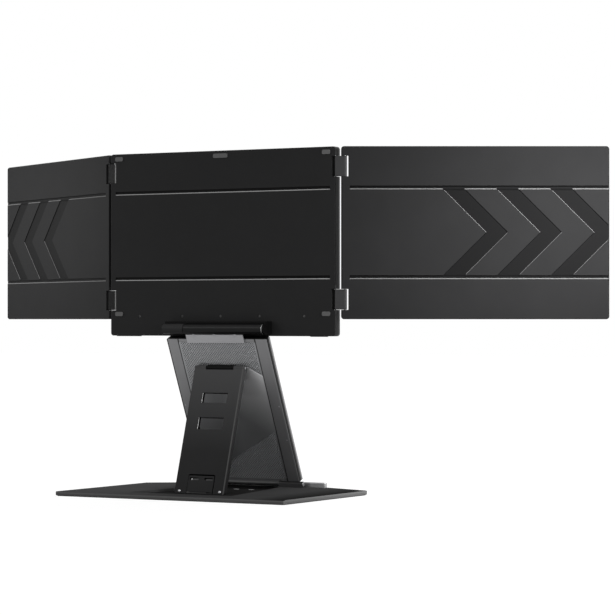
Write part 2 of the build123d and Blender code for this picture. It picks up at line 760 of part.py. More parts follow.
for side in (left, right):
    local = side.local
    middle = (local * side_width / 2, side_height / 2)
    active_middle = (
        local * (side_hinge_bezel + active_width / 2),
        side_chin + active_height / 2,
    )

    with BuildPart() as side_rear_cover:
        with BuildSketch(side.rear.offset(-side_cover_depth)):
            with Locations(middle):
                RectangleRounded(side_width, side_height, side_corner)
        extrude(amount=side_cover_depth)
        chamfer(side_rear_cover.faces().sort_by(rear_axis(side.rear))[-1].edges(), side_bevel)
        with BuildSketch(side.rear.offset(-side_cover_depth)):
            with Locations((local * (side_rail + side_width - side_wall) / 2, side_height / 2)):
                Rectangle(side_width - side_rail - side_wall, side_height - 2 * side_wall)
        extrude(amount=side_cover_depth - rear_wall, mode=Mode.SUBTRACT)
        cut_notches(side.rear, 0, screen_notch_depth, link_rises, side_cover_depth)
        cut_pin_bores(side.screen_pin)
        for rise in (groove_low, groove_high):
            cut_groove(side.rear, local * side_groove_start, rise, local * side_width)
        for i in range(chevron_count):
            near = side_width - chevron_start + i * chevron_pitch
            far = near + chevron_width
            with BuildSketch(side.rear):
                with BuildLine():
                    Polyline(
                        (local * near, chevron_low),
                        (local * (near + chevron_point), (chevron_low + chevron_high) / 2),
                        (local * near, chevron_high),
                        (local * far, chevron_high),
                        (local * (far + chevron_point), (chevron_low + chevron_high) / 2),
                        (local * far, chevron_low),
                        close=True,
                    )
                make_face()
            extrude(amount=-chevron_depth, taper=chevron_taper, mode=Mode.SUBTRACT)
    finish(side_rear_cover, f"{side.name}_rear_cover")

    with BuildPart() as side_bezel_part:
        with BuildSketch(side.rear.offset(-side_thickness)):
            with Locations(middle):
                RectangleRounded(side_width, side_height, side_corner)
            with Locations(active_middle):
                Rectangle(active_width, active_height, mode=Mode.SUBTRACT)
        extrude(amount=bezel_thickness)
        front_face = side_bezel_part.faces().sort_by(rear_axis(side.rear))[0]
        chamfer(front_face.outer_wire().edges(), screen_bevel)
        cut_notches(side.rear, 0, screen_notch_depth, link_rises, side_thickness)
    finish(side_bezel_part, f"{side.name}_bezel")

    with BuildPart() as side_lcd:
        with BuildSketch(side.rear.offset(-side_cover_depth)):
            with Locations(active_middle):
                Rectangle(active_width + 2 * lcd_margin, active_height + 2 * lcd_margin)
        extrude(amount=lcd_thickness)
    finish(side_lcd, f"{side.name}_lcd")

    with BuildPart() as side_driver_board:
        with BuildSketch(side.rear.offset(-rear_wall)):
            with Locations((active_middle[0], side_wall + panel_gap)):
                Rectangle(driver_width, driver_height, align=(Align.CENTER, Align.MIN))
        extrude(amount=-board_thickness)
    finish(side_driver_board, f"{side.name}_driver_board")

    with BuildPart() as links:
        for rise in link_rises:
            with BuildSketch(Plane.XY.offset(side_low_z + rise - link_height / 2)):
                link_middle = (side.centre_pin + side.screen_pin) / 2
                with Locations((link_middle.X, link_middle.Y)):
                    SlotCenterToCenter(side.pitch, link_thickness, rotation=side.link_turn)
                if side is right:
                    with Locations(Location((link_middle.X, link_middle.Y, 0), (0, 0, side.link_turn))):
                        with Locations((0, -link_thickness / 2)):
                            Rectangle(
                                link_relief_length, 2 * link_relief_depth, mode=Mode.SUBTRACT
                            )
                with Locations((side.centre_pin.X, side.centre_pin.Y)):
                    Circle(link_pin_radius + running_clearance, mode=Mode.SUBTRACT)
                with Locations((side.screen_pin.X, side.screen_pin.Y)):
                    Circle(link_pin_radius + running_clearance, mode=Mode.SUBTRACT)
            extrude(amount=link_height)
    finish(links, f"{side.name}_links")

    for pin, where in ((side.centre_pin, "inner"), (side.screen_pin, "outer")):
        with BuildPart() as link_pins:
            for rise in link_rises:
                low = side_low_z + rise - notch_height / 2 - link_pin_grip
                with BuildSketch(Plane.XY.offset(low)):
                    with Locations((pin.X, pin.Y)):
                        Circle(link_pin_radius)
                extrude(amount=notch_height + 2 * link_pin_grip)
        finish(link_pins, f"{side.name}_{where}_pins")

# ---- Centre screen ----

centre_rises = tuple(rise + centre_height - side_height for rise in link_rises)
centre_middle = (0, centre_height / 2)
centre_active = (0, centre_chin + active_height / 2)
centre_frame_depth = centre_thickness - bezel_thickness
button_depth = rear_wall + board_thickness + port_thickness / 2
button_y = screen_y - button_depth
button_x = centre_width / 2 - button_setback
flange_rise = centre_wall + seat_clearance
switch_low = flange_rise + button_flange + button_travel + press_gap
buttons = (
    ("power_button", -button_x, power_button_width),
    ("menu_button", button_x, menu_button_width),
)
screws_at = [(x, cover_screw_rise) for x in cover_screw_positions]
mount_screws_at = [
    (x, barrel_rise + mount_screw_rise)
    for x in (-mount_screw_x, -mount_screw_x / 3, mount_screw_x / 3, mount_screw_x)
]


def cut_centre_cavity(depth):
    """Hollows the centre housing to a depth from the sketch plane at its split."""
    with BuildSketch(centre_rear.offset(-centre_cover_depth)) as hollow:
        with Locations(centre_middle):
            Rectangle(centre_width - 2 * centre_rail, centre_height - 2 * centre_wall)
    extrude(hollow.sketch, amount=depth, mode=Mode.SUBTRACT)


def cut_centre_hinges():
    """Cuts the link notches and the link pins' bores at both edges of the centre housing."""
    for side in (left, right):
        edge = side.local * centre_width / 2
        depth = side.pin_inset + link_thickness / 2 + link_end_gap
        cut_notches(centre_rear, edge, depth, centre_rises, centre_thickness)
        cut_pin_bores(side.centre_pin)


with BuildPart() as centre_rear_cover:
    with BuildSketch(centre_rear.offset(-centre_cover_depth)):
        with Locations(centre_middle):
            RectangleRounded(centre_width, centre_height, centre_corner)
    extrude(amount=centre_cover_depth)
    chamfer(centre_rear_cover.faces().sort_by(rear_axis(centre_rear))[-1].edges(), screen_bevel)
    cut_centre_cavity(centre_cover_depth - rear_wall)
    cut_centre_hinges()
    for rise in (groove_low, groove_high):
        cut_groove(
            centre_rear,
            centre_groove_margin - centre_width / 2,
            rise + centre_height - side_height,
            centre_width - 2 * centre_groove_margin,
        )
    with BuildSketch(centre_rear):
        with Locations(screws_at):
            Circle(cover_screw_shank + seat_clearance)
        with Locations(mount_screws_at):
            Circle(mount_screw_radius + seat_clearance)
    extrude(amount=-rear_wall, mode=Mode.SUBTRACT)
    with BuildSketch(centre_rear):
        with Locations(screws_at):
            Circle(cover_screw_head + panel_gap)
    extrude(amount=-screw_head_height, mode=Mode.SUBTRACT)
    with BuildSketch(Plane.XY.offset(centre_low_z)):
        for name, x, width in buttons:
            with Locations((x, button_y)):
                Rectangle(width + 2 * button_gap, button_thickness + 2 * button_gap)
        with Locations([(x, button_y) for x in port_positions]):
            RectangleRounded(
                port_width + 2 * seat_clearance,
                port_thickness + 2 * seat_clearance,
                port_thickness / 2 - seat_clearance,
            )
    extrude(amount=centre_wall, mode=Mode.SUBTRACT)
    with BuildSketch(Plane.XY.offset(centre_low_z + centre_wall)):
        for name, x, width in buttons:
            with Locations((x, button_y)):
                Rectangle(
                    width + 2 * button_flange + 2 * button_gap,
                    button_thickness + button_flange / 2 + 2 * button_gap,
                )
    extrude(amount=switch_low - centre_wall, mode=Mode.SUBTRACT)
finish(centre_rear_cover, "centre_rear_cover")

with BuildPart() as centre_front_frame:
    with BuildSketch(centre_rear.offset(-centre_thickness)):
        with Locations(centre_middle):
            RectangleRounded(centre_width, centre_height, centre_corner)
        with Locations(centre_active):
            Rectangle(active_width, active_height, mode=Mode.SUBTRACT)
    extrude(amount=centre_thickness - centre_cover_depth)
    front_face = centre_front_frame.faces().sort_by(rear_axis(centre_rear))[0]
    chamfer(front_face.outer_wire().edges(), screen_bevel)
    cut_centre_cavity(centre_cover_depth - centre_frame_depth)
    with BuildSketch(centre_rear.offset(-centre_frame_depth)):
        with Locations(screws_at):
            Circle(boss_radius)
    extrude(amount=centre_frame_depth - rear_wall - seat_clearance)
    with BuildSketch(centre_rear.offset(-rear_wall)):
        with Locations(screws_at):
            Circle(cover_screw_shank + seat_clearance)
    extrude(amount=-(centre_cover_depth - rear_wall), mode=Mode.SUBTRACT)
    cut_centre_hinges()
finish(centre_front_frame, "centre_front_frame")

with BuildPart() as centre_screws:
    with BuildSketch(centre_rear.offset(-screw_head_height)):
        with Locations(screws_at):
            Circle(cover_screw_head)
    extrude(amount=screw_head_height - panel_gap)
    with BuildSketch(centre_rear.offset(-screw_head_height)):
        with Locations(screws_at):
            Circle(cover_screw_shank)
    extrude(amount=screw_head_height - centre_cover_depth + panel_gap)
finish(centre_screws, "centre_screws")

with BuildPart() as centre_lcd:
    with BuildSketch(centre_rear.offset(-centre_frame_depth)):
        with Locations(centre_active):
            Rectangle(active_width + 2 * lcd_margin, active_height + 2 * lcd_margin)
    extrude(amount=lcd_thickness)
finish(centre_lcd, "centre_lcd")

main_board_low = switch_low + 1

with BuildPart() as main_board:
    with BuildSketch(centre_rear.offset(-rear_wall)):
        with Locations((0, main_board_low)):
            Rectangle(
                centre_width - 2 * (centre_rail + main_board_margin),
                main_board_height,
                align=(Align.CENTER, Align.MIN),
            )
        with Locations(mount_screws_at):
            Circle(mount_screw_head + panel_gap, mode=Mode.SUBTRACT)
    extrude(amount=-board_thickness)
finish(main_board, "main_board")

with BuildPart() as ports:
    for x in port_positions:
        with BuildSketch(Plane.XY.offset(centre_low_z)):
            with Locations((x, button_y)):
                RectangleRounded(port_width, port_thickness, port_thickness / 2 - seat_clearance)
        extrude(amount=port_length)
        with BuildSketch(Plane.XY.offset(centre_low_z)):
            with Locations((x, button_y)):
                RectangleRounded(
                    port_width - 2 * port_wall,
                    port_thickness - 2 * port_wall,
                    port_thickness / 2 - port_wall - seat_clearance,
                )
                Rectangle(port_width - 6 * port_wall, 2 * port_wall, mode=Mode.SUBTRACT)
        extrude(amount=port_length - 2 * port_wall, mode=Mode.SUBTRACT)
finish(ports, "ports")

for name, x, width in buttons:
    with BuildPart() as button:
        with BuildSketch(Plane.XY.offset(centre_low_z - button_proud)):
            with Locations((x, button_y)):
                Rectangle(width, button_thickness)
        extrude(amount=button_proud + flange_rise)
        with BuildSketch(Plane.XY.offset(centre_low_z + flange_rise)):
            with Locations((x, button_y)):
                Rectangle(width + 2 * button_flange, button_thickness + button_flange / 2)
        extrude(amount=button_flange)
    finish(button, name)

with BuildPart() as button_switches:
    with BuildSketch(Plane.XY.offset(centre_low_z + switch_low)):
        for name, x, width in buttons:
            with Locations((x, screen_y - rear_wall - board_thickness)):
                Rectangle(switch_width, port_thickness, align=(Align.CENTER, Align.MAX))
    extrude(amount=switch_height)
finish(button_switches, "button_switches")

pad_x = centre_width / 2 - pad_side
with BuildPart() as rear_pads:
    with BuildSketch(centre_rear):
        with Locations([(x, y) for x in (-pad_x, pad_x) for y in (pad_low, centre_height - pad_top)]):
            RectangleRounded(pad_width, pad_height, pad_height / 3)
        with Locations((0, centre_height - pad_top)):
            RectangleRounded(top_pad_width, pad_height, pad_height / 3)
    extrude(amount=pad_proud)
finish(rear_pads, "rear_pads")

# ---- Tilt mount ----

# On this plane x runs back and y up from the tilt axis.
mount_side = Plane(origin=tilt_point, x_dir=(0, 1, 0), z_dir=(1, 0, 0))
knuckle_start = sleeve_left + knuckle_gap

with BuildPart() as tilt_mount:
    with BuildSketch(mount_side.offset(-barrel_right)):
        with Locations((-barrel_standoff, 0)):
            Rectangle(mount_depth, mount_rise, align=(Align.MIN, Align.MIN))
    extrude(amount=barrel_right + barrel_left)
    ends = ((-barrel_right, cheek_thickness), (knuckle_start, barrel_left - knuckle_start))
    for start, length in ends:
        with BuildSketch(mount_side.offset(start)):
            Circle(sleeve_radius)
            with Locations((-barrel_standoff, -mount_drop)):
                Rectangle(barrel_standoff, mount_drop, align=(Align.MIN, Align.MIN))
        extrude(amount=length)
    groove_start = cheek_thickness - barrel_right
    with BuildSketch(mount_side.offset(groove_start)):
        Circle(sleeve_radius + mount_groove_gap)
    extrude(amount=knuckle_start - groove_start, mode=Mode.SUBTRACT)
    with BuildSketch(mount_side.offset(-barrel_right)):
        Circle(shaft_radius + seat_clearance)
    extrude(amount=barrel_right + barrel_left, mode=Mode.SUBTRACT)
    with BuildSketch(centre_rear):
        with Locations(mount_screws_at):
            Circle(mount_screw_radius + seat_clearance)
    extrude(amount=mount_screw_length - rear_wall, mode=Mode.SUBTRACT)
finish(tilt_mount, "tilt_mount")

with BuildPart() as mount_screws:
    with BuildSketch(centre_rear.offset(-rear_wall)):
        with Locations(mount_screws_at):
            Circle(mount_screw_radius)
    extrude(amount=mount_screw_length - panel_gap)
    with BuildSketch(centre_rear.offset(-rear_wall)):
        with Locations(mount_screws_at):
            Circle(mount_screw_head)
    extrude(amount=-board_thickness)
finish(mount_screws, "mount_screws")

with BuildPart() as tilt_shaft:
    with BuildSketch(mount_side.offset(-barrel_right)):
        Circle(shaft_radius)
    extrude(amount=barrel_right + barrel_left)
finish(tilt_shaft, "tilt_shaft")

with BuildPart() as tilt_washer:
    with BuildSketch(mount_side.offset(groove_start)):
        Circle(sleeve_radius)
        Circle(shaft_radius + seat_clearance, mode=Mode.SUBTRACT)
    extrude(amount=washer_thickness)
finish(tilt_washer, "tilt_washer")
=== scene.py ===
import math

import bpy
import numpy as np
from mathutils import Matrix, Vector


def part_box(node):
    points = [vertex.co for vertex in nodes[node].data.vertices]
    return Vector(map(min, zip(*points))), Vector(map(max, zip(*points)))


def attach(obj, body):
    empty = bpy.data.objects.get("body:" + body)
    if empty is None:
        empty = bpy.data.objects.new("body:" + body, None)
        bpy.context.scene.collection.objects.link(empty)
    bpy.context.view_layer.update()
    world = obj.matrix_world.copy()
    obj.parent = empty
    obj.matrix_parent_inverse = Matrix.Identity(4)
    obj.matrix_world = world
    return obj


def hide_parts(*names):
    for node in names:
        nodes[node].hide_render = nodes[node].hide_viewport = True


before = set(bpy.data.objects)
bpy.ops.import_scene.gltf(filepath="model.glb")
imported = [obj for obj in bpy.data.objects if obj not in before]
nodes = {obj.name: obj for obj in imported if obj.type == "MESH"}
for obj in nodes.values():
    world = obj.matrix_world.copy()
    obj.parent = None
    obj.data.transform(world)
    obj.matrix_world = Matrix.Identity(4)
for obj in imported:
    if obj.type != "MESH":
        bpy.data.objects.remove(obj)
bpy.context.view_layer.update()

# ---- Base mat ----
# A thin sheet of black rubber under the base, which keeps the stand from sliding on the desk.
# It is cut from calendered sheet with a pebbled grain, and glued to the plate.


def calc(tree, operation, *values):
    """Adds a Math node and returns its output; a value is a number or another node's output."""
    step = tree.nodes.new("ShaderNodeMath")
    step.operation = operation
    for socket, value in zip(step.inputs, values):
        if isinstance(value, (int, float)):
            socket.default_value = value
        else:
            tree.links.new(value, socket)
    return step.outputs[0]


def blend_colours(tree, share, low, high):
    """Adds a colour Mix node: low where share is 0, high where it is 1; a number is a grey."""
    mix = tree.nodes.new("ShaderNodeMix")
    mix.data_type = "RGBA"
    tree.links.new(share, mix.inputs["Factor"])
    for socket, value in ((mix.inputs["A"], low), (mix.inputs["B"], high)):
        if isinstance(value, float):
            value = (value, value, value)
        if isinstance(value, tuple):
            socket.default_value = (*value, 1.0)
        else:
            tree.links.new(value, socket)
    return mix.outputs["Result"]


def noise(tree, place, scale, detail):
    """Adds a noise texture on the given coordinates and returns its value."""
    texture = tree.nodes.new("ShaderNodeTexNoise")
    texture.inputs["Scale"].default_value = scale
    texture.inputs["Detail"].default_value = detail
    tree.links.new(place, texture.inputs["Vector"])
    return texture.outputs["Fac"]


def coating(name, colour, roughness, metallic=0.0, specular=0.5, drift=0.2, grain=1500.0,
            depth=0.00002, stretch=(1.0, 1.0, 1.0), edge=0.0003, edge_highlight=1.0):
    """A surface finish on Object coordinates; a colour that is one number is a grey.

    The colour wanders by drift over a few centimetres, and the roughness over the fine grain. A
    bump of the given depth in metres repeats at the grain's scale per metre, drawn out by stretch.
    Edge is the radius in metres that an edge is rounded to, and the last argument is how many times
    lighter the coat is painted there, a painted edge highlight.
    """
    if isinstance(colour, float):
        colour = (colour, colour, colour)
    wander_scale = 22.0  # per metre
    highlight_gain = 9.0  # the painted edge highlight is full where an edge has turned by 27 degrees
    highlight_least, highlight_range = 0.4, 0.8  # how much of the painted edge highlight shows, over the slow drift
    polish_least, polish_range = 0.85, 0.3  # shares of the roughness, over the fine grain
    material = bpy.data.materials.new(name)
    material.use_nodes = True
    tree = material.node_tree
    shader = tree.nodes["Principled BSDF"]
    shader.inputs["Metallic"].default_value = metallic
    shader.inputs["Specular IOR Level"].default_value = specular
    place = tree.nodes.new("ShaderNodeTexCoord").outputs["Object"]
    turn = tree.nodes.new("ShaderNodeMapping")
    turn.inputs["Scale"].default_value = stretch
    tree.links.new(place, turn.inputs["Vector"])
    fine = noise(tree, turn.outputs["Vector"], grain, 3.0)
    broad = noise(tree, place, wander_scale, 4.0)
    low = tuple(c * (1 - drift) for c in colour)
    high = tuple(min(1.0, c * (1 + drift)) for c in colour)
    shade = blend_colours(tree, broad, low, high)
    rounding = tree.nodes.new("ShaderNodeBevel")
    rounding.samples = 4
    rounding.inputs["Radius"].default_value = edge
    # Rounded edges are painted lighter, a painted edge highlight broken up by the slow drift.
    if edge_highlight != 1.0:
        flat = tree.nodes.new("ShaderNodeNewGeometry").outputs["True Normal"]
        meet = tree.nodes.new("ShaderNodeVectorMath")
        meet.operation = "DOT_PRODUCT"
        tree.links.new(rounding.outputs["Normal"], meet.inputs[0])
        tree.links.new(flat, meet.inputs[1])
        bend = calc(tree, "SUBTRACT", 1.0, meet.outputs["Value"])
        edge_lit = calc(tree, "MINIMUM", calc(tree, "MULTIPLY", bend, highlight_gain), 1.0)
        highlight_share = calc(tree, "MULTIPLY_ADD", broad, highlight_range, highlight_least)
        highlight_colour = tuple(min(1.0, c * edge_highlight) for c in colour)
        shade = blend_colours(tree, calc(tree, "MULTIPLY", edge_lit, highlight_share), shade, highlight_colour)
    tree.links.new(shade, shader.inputs["Base Color"])
    polish = calc(tree, "MULTIPLY_ADD", fine, roughness * polish_range, roughness * polish_least)
    tree.links.new(polish, shader.inputs["Roughness"])
    bump = tree.nodes.new("ShaderNodeBump")
    bump.name = "grain"
    bump.inputs["Strength"].default_value = 1.0
    bump.inputs["Distance"].default_value = depth
    tree.links.new(fine, bump.inputs["Height"])
    tree.links.new(rounding.outputs["Normal"], bump.inputs["Normal"])
    tree.links.new(bump.outputs["Normal"], shader.inputs["Normal"])
    return material


def dress(material, *pieces):
    """Gives CAD nodes one material."""
    for piece in pieces:
        nodes[piece].data.materials.clear()
        nodes[piece].data.materials.append(material)


mat_rubber = coating("mat_rubber", 0.02, 0.85, grain=900.0, depth=0.00008)
dress(mat_rubber, "base_mat")

# ---- Base plate and its cover ----
# A steel plate with a pressed cover over it, both powder coated in matt black. The cover is cut
# out over the middle, where the kickstand's foot slides, and rises a little to the front.

past = 1.0  # metres, past every piece: the open end of a range


def split(tree, vector):
    """The X, Y and Z of a vector, each as a node's output."""
    parts = tree.nodes.new("ShaderNodeSeparateXYZ")
    tree.links.new(vector, parts.inputs["Vector"])
    return parts.outputs["X"], parts.outputs["Y"], parts.outputs["Z"]


def place_on(tree):
    """The X, Y and Z of the Object coordinates in metres."""
    return split(tree, tree.nodes.new("ShaderNodeTexCoord").outputs["Object"])


def facing_on(tree):
    """The X, Y and Z of the way that the surface faces."""
    return split(tree, tree.nodes.new("ShaderNodeTexCoord").outputs["Normal"])


def clamp(tree, value):
    """The value held between 0 and 1."""
    return calc(tree, "MINIMUM", calc(tree, "MAXIMUM", value, 0.0), 1.0)


def ramp(tree, value, start, full):
    """0 at start and 1 at full, even between them; full may be the lower of the two."""
    span = full - start
    return clamp(tree, calc(tree, "MULTIPLY_ADD", value, 1 / span, -start / span))


def within(tree, value, low, high, soft):
    """1 where a value lies between low and high, else 0; soft is the width of its edges."""
    rise = calc(tree, "MULTIPLY_ADD", value, 1 / soft, -low / soft)
    fall = calc(tree, "MULTIPLY_ADD", value, -1 / soft, high / soft)
    return clamp(tree, calc(tree, "MINIMUM", rise, fall))


def all_of(tree, mask, *others):
    """The product of masks: 1 where each of them is 1."""
    for other in others:
        mask = calc(tree, "MULTIPLY", mask, other)
    return mask


def lay_tones(material, *layers):
    """Lays tones over a coat, one after another, each where its mask is 1."""
    tree = material.node_tree
    colour_in = tree.nodes["Principled BSDF"].inputs["Base Color"]
    shade = colour_in.links[0].from_socket
    for mask, tone in layers:
        shade = blend_colours(tree, mask, shade, tone)
    tree.links.new(shade, colour_in)


def paint_lit_sides(material, rear_tone, side_tone):
    """Paints the base's outer faces lighter, as painted highlights: the one at the back, and the
    one on the user's left.
    """
    rear_from, left_from = 0.06, -0.1  # past the cut-out, whose walls stay as they are
    tree = material.node_tree
    x, y, _ = place_on(tree)
    to_x, to_y, to_z = facing_on(tree)
    upright = calc(tree, "LESS_THAN", calc(tree, "ABSOLUTE", to_z), 0.4)
    to_back = calc(tree, "GREATER_THAN", to_y, 0.3)
    to_left = calc(tree, "LESS_THAN", to_x, -0.7)
    behind = all_of(tree, upright, to_back, calc(tree, "GREATER_THAN", y, rear_from))
    beside = all_of(tree, to_left, calc(tree, "LESS_THAN", x, left_from))
    lay_tones(material, (behind, rear_tone), (beside, side_tone))


plate_coat = coating("plate_coat", 0.017, 0.6, specular=0.0, drift=0.12, grain=2200.0,
                     depth=0.00003, edge=0.0004)
paint_lit_sides(plate_coat, 0.060, 0.14)
dress(plate_coat, "base_plate")
deck_coat = coating("deck_coat", (0.042, 0.042, 0.0425), 0.95, specular=0.0, drift=0.12,
                    grain=2200.0, depth=0.00004, edge=0.0005, edge_highlight=1.6)
# Painted shade and sheen: the tone is graded darker at the end on the user's left, and greyer at
# the other.
deck_tree = deck_coat.node_tree
deck_x, _, _ = place_on(deck_tree)
shade_left_end = ramp(deck_tree, deck_x, -0.13, -0.17)
sheen_right_end = ramp(deck_tree, deck_x, 0.0, 0.10)
lay_tones(deck_coat, (shade_left_end, 0.018), (sheen_right_end, (0.060, 0.060, 0.0605)))
paint_lit_sides(deck_coat, 0.085, 0.17)
dress(deck_coat, "base_deck")

# ---- Base screws ----
# Flat steel screws on the plate, inside the cover's cut-out, which hold the mat's glued edge and
# the plate together. They are turned heads with a pressed cross.


def screw_heads(name, centres, right, up, radius, height, dome, cross, sink):
    """Screw or rivet heads in one mesh, each a disc that is domed and may have a cross recess.

    A square grid (u, v) is laid over the disc: x = u sqrt(1 - v^2 / 2), y = v sqrt(1 - u^2 / 2).
    The height over the seat is height - dome r^2, less the cross's depth inside its two bars. The
    lower face is flat, sunk under the seat. Cross is (half width, half length, depth) or None;
    its first two are shares of the radius.
    """
    right, up = np.array(right, float), np.array(up, float)
    out = np.cross(right, up)
    line = np.linspace(-1.0, 1.0, 33)
    u, v = np.meshgrid(line, line)
    x = u * np.sqrt(1 - v ** 2 / 2)
    y = v * np.sqrt(1 - u ** 2 / 2)
    rise = height - dome * (x ** 2 + y ** 2)
    if cross:
        half_width, half_length, depth = cross
        slope = 0.12  # share of the radius over which the cross's walls fall
        wide = [np.clip((half_width - np.abs(a)) / slope + 0.5, 0, 1) for a in (x, y)]
        long = [np.clip((half_length - np.abs(a)) / slope + 0.5, 0, 1) for a in (y, x)]
        rise = rise - depth * np.maximum(wide[0] * long[0], wide[1] * long[1])
    flat = np.stack([x * radius, y * radius], -1)
    top = np.concatenate([flat, rise[..., None]], -1).reshape(-1, 3)
    low = np.concatenate([flat, np.full_like(rise, -sink)[..., None]], -1).reshape(-1, 3)
    one = np.concatenate([top, low])
    axes = np.stack([right, up, out])
    spots = np.array(centres, float)
    points = (spots[:, None, :] + one[None] @ axes).reshape(-1, 3)
    n = len(line)
    cell = (np.arange(n - 1)[:, None] * n + np.arange(n - 1)).ravel()
    upper = np.stack([cell, cell + 1, cell + n + 1, cell + n], -1)
    rim = np.concatenate([
        np.arange(n - 1), np.arange(n - 1) * n + n - 1,
        n * n - 1 - np.arange(n - 1), (n - 1) * n - np.arange(n - 1) * n,
    ])
    after = np.roll(rim, -1)
    wall = np.stack([rim, rim + n * n, after + n * n, after], -1)
    faces = np.concatenate([upper, upper[:, ::-1] + n * n, wall])
    every = (faces[None] + (np.arange(len(spots)) * len(one))[:, None, None]).reshape(-1, 4)
    mesh = bpy.data.meshes.new(name)
    mesh.from_pydata(points.tolist(), [], every.tolist())
    mesh.polygons.foreach_set("use_smooth", np.ones(len(every), dtype=bool))
    piece = bpy.data.objects.new(name, mesh)
    bpy.context.scene.collection.objects.link(piece)
    return piece


screw_steel = coating("screw_steel", (0.38, 0.38, 0.39), 0.36, metallic=1.0, grain=3000.0,
                      edge=0.0001)
screw_dark = coating("screw_dark", 0.055, 0.5, metallic=1.0, grain=3000.0, edge=0.0001)
base_zinc = coating("base_zinc", 0.45, 0.5, metallic=1.0, grain=3000.0, edge=0.0001)

plate_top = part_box("base_plate")[1].z
base_row = -0.08425  # y of the two screws
base_heads = screw_heads(
    "base_screw_heads", [(x, base_row, plate_top) for x in (-0.012, 0.012)],
    (1, 0, 0), (0, 1, 0),
    radius=0.004, height=0.0004, dome=0.0002, cross=(0.14, 0.55, 0.0003), sink=0.0015,
)
base_heads.data.materials.append(base_zinc)
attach(base_heads, "base")
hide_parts("base_screws")

# ---- Front bar ----
# A rounded bar along the base's front edge, against which the laptop's hinge side is set. It is a
# steel extrusion in satin grey, dipped where the leaf leans over it.

bar_satin = coating("bar_satin", (0.42, 0.42, 0.425), 0.35, metallic=0.9, specular=0.5,
                    drift=0.12, grain=1800.0, stretch=(0.05, 1.0, 1.0), edge=0.0006)
dress(bar_satin, "front_bar")

# ---- Hinge blocks, the leaf's knuckle and the pins ----
# Two blocks on the base hold steel pins, and the leaf's long knuckle turns between them. The
# blocks and the knuckle are satin black, and the pins are bright ground steel.

hinge_satin = coating("hinge_satin", (0.018, 0.018, 0.0185), 0.42, specular=0.4, drift=0.15,
                      grain=2600.0, edge=0.0003, edge_highlight=2.0)
dress(hinge_satin, "leaf_knuckle")
block_satin = coating("block_satin", (0.018, 0.018, 0.0185), 0.42, specular=0.3, drift=0.15,
                      grain=2600.0, edge=0.0003, edge_highlight=2.0)
block_tree = block_satin.node_tree
_, _, block_z = place_on(block_tree)
# The blocks' rounded tops are painted near black, a painted shade.
shaded_crown = within(block_tree, block_z, 0.0148, past, 0.0002)
lay_tones(block_satin, (shaded_crown, 0.001))
dress(block_satin, "hinge_blocks")
pin_steel = coating("pin_steel", (0.62, 0.62, 0.63), 0.28, metallic=1.0, drift=0.1,
                    grain=3000.0, edge=0.0002)
dress(pin_steel, "hinge_pins", "kick_pin", "mount_screws")

# ---- Leaf frame ----
# The plate that carries the screens: an anodised aluminium frame, hollow in its middle, with a
# black seam near its rear face where its two halves meet.

leaf_angle = math.radians(65.6)
hinge_line = (-0.09425, 0.013)  # y and z of the base hinge


def leaf_place(tree):
    """Coordinates on the leaf: x across, s up the leaf from the base hinge, z to its front.

    The Mapping node turns Object coordinates by the leaf's angle about the base hinge's line.
    """
    turn = tree.nodes.new("ShaderNodeMapping")
    turn.inputs["Rotation"].default_value = (-leaf_angle, 0.0, 0.0)
    y, z = hinge_line
    turn.inputs["Location"].default_value = (
        0.0,
        -(y * math.cos(leaf_angle) + z * math.sin(leaf_angle)),
        y * math.sin(leaf_angle) - z * math.cos(leaf_angle),
    )
    place = tree.nodes.new("ShaderNodeTexCoord").outputs["Object"]
    tree.links.new(place, turn.inputs["Vector"])
    return split(tree, turn.outputs["Vector"])


leaf_metal = coating("leaf_metal", (0.205, 0.205, 0.21), 0.45, metallic=0.68, drift=0.08,
                     grain=2400.0, depth=0.00001, stretch=(1.0, 0.06, 0.06), edge=0.0005)
leaf_tree = leaf_metal.node_tree
leaf_x, leaf_s, leaf_z = leaf_place(leaf_tree)
seam = within(leaf_tree, leaf_z, 0.0063, 0.0122, 0.0001)
top_face = calc(leaf_tree, "GREATER_THAN", leaf_s, 0.2158)
side_rim = within(leaf_tree, leaf_x, 0.0779, past, 0.0004)
rim = calc(leaf_tree, "MAXIMUM", top_face, side_rim)
leaf_out = calc(leaf_tree, "ABSOLUTE", leaf_x)
joint = within(leaf_tree, leaf_out, 0.0600, 0.0626, 0.0003)
lay_tones(leaf_metal, (joint, 0.04), (calc(leaf_tree, "MAXIMUM", seam, rim), 0.005))
dress(leaf_metal, "leaf_frame")

# ---- Leaf's rear panel ----
# A thin aluminium sheet set in the frame, punched with a fine staggered mesh for cooling, and left
# whole in one slanting field. It lies flush with the frame, with a dark line round it.

mesh_pitch = 0.0037
# The whole field's corners on the leaf, x and s; its upper edge runs from the last to the first.
field_corners = [(-0.0700, 0.1555), (-0.0700, 0.0824), (0.0700, 0.0033), (0.0700, 0.1280),
                 (-0.0370, 0.1756)]
highlight_width = 0.080


def side_of(tree, x, s, first, last, soft):
    """1 on the left of the line from first to last on the leaf, 0 on its right, softly."""
    across = np.array([first[1] - last[1], last[0] - first[0]])
    across = across / np.linalg.norm(across) / soft
    level = float(-across @ np.array(first))
    sum_x = calc(tree, "MULTIPLY_ADD", x, float(across[0]), level)
    return clamp(tree, calc(tree, "MULTIPLY_ADD", s, float(across[1]), sum_x))


def waves(tree, value, length):
    """The cosine of a value, one wave to each length."""
    return calc(tree, "COSINE", calc(tree, "MULTIPLY", value, 2 * math.pi / length))


